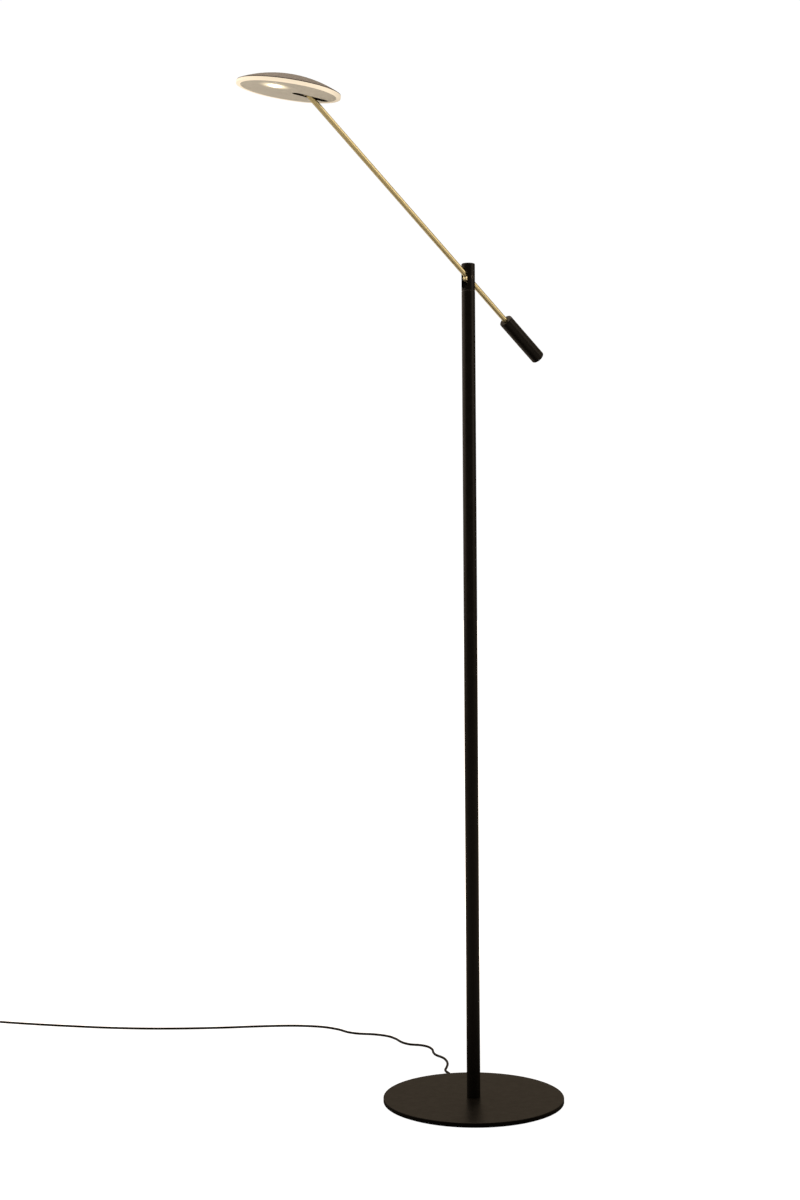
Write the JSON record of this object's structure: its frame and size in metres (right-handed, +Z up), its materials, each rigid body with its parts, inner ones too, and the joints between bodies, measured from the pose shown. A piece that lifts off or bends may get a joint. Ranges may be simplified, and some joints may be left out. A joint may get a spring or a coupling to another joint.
{
  "type": "floor lamp",
  "caption": "Slim floor lamp with a round base, a swivelling slotted pole head and a counterbalanced brass rod that carries a flat, domed LED disc; its lead ends in a plug-in adapter.",
  "frame": {"origin": "centre of the base's underside, on the floor", "axes": "+Z up along the pole; at rest the arm lies over the X axis, with the lamp disc towards -X and the counterweight towards +X"},
  "size_m": [0.6108, 1.168, 1.529],
  "materials": {
    "black_paint": "fine textured powder coat, satin",
    "black_screw": "blackened steel, satin",
    "foam": "matte",
    "zinc_steel": "zinc plated, satin",
    "black_plastic": "fine spark texture, matte",
    "cord_jacket": "matte soft jacket",
    "brass": "satin, lacquered",
    "white_nylon": "matte",
    "dome_paint": "satin dark bronze paint",
    "ring_acrylic": "translucent, frosted, lit warm white",
    "led_strip": "lit warm white",
    "grey_paint": "matte paint",
    "bare_aluminium": "rolled, satin",
    "cast_black": "black paint, satin",
    "lens": "clear, lit warm white",
    "white_board": "white solder mask, satin",
    "green_board": "green solder mask, satin",
    "blade_metal": "nickel plated"
  },
  "bodies": {
    "base": {"base_plate": "black_paint", "base_pad": "foam", "hollow_bolt": "zinc_steel", "tube_foot": "zinc_steel", "pole_tube": "black_paint", "top_bush": "zinc_steel", "stop_pin": "zinc_steel", "swivel_washer": "black_plastic", "pole_lead": "cord_jacket", "strain_relief": "cord_jacket", "cord_lead": "cord_jacket", "cord_coil": "cord_jacket", "cord_tie": "black_plastic", "cord_tail": "cord_jacket", "adapter_body": "black_plastic", "adapter_pins": "blade_metal"},
    "swivel_head": {"pole_head": "black_paint", "stop_ring": "zinc_steel", "wave_washer": "zinc_steel", "swivel_nut": "zinc_steel", "pivot_screws": "black_screw"},
    "barrel": {"pivot_barrel": "brass", "barrel_washers": "white_nylon", "rod_brake_screw": "black_screw"},
    "arm": {"arm_rod": "brass", "rod_knuckle": "brass", "knuckle_washers": "white_nylon", "counterweight": "black_paint", "counterweight_screw": "black_screw", "arm_lead": "cord_jacket"},
    "lamp_disc": {"head_dome": "dome_paint", "light_ring": "ring_acrylic", "ring_led_strip": "led_strip", "under_plate": "grey_paint", "plate_studs": "white_nylon", "head_chassis": "bare_aluminium", "hinge_yoke": "cast_black", "hinge_pin": "zinc_steel", "yoke_screws": "zinc_steel", "dome_screws": "zinc_steel", "spot_board": "white_board", "spot_lens": "lens", "driver_board": "green_board"}
  },
  "joints": [
    {"name": "head_swivel", "type": "hinge", "parent": "base", "child": "swivel_head", "pos_m": [0, 0, 1.258], "axis": [0, 0, 1], "range_deg": [-158, 158]},
    {"name": "arm_tilt", "type": "hinge", "parent": "swivel_head", "child": "barrel", "pos_m": [0, 0, 1.278], "axis": [0, 1, 0], "range_deg": [-76, 4]},
    {"name": "rod_turn", "type": "hinge", "parent": "barrel", "child": "arm", "pos_m": [0, 0, 1.278], "axis": [0.809, 0, -0.5878], "range_deg": [-57, 33]},
    {"name": "disc_tilt", "type": "hinge", "parent": "arm", "child": "lamp_disc", "pos_m": [-0.31552, 0, 1.50724], "axis": [-0.1202, -0.9789, -0.1654], "range_deg": [-16, 112]}
  ]
}
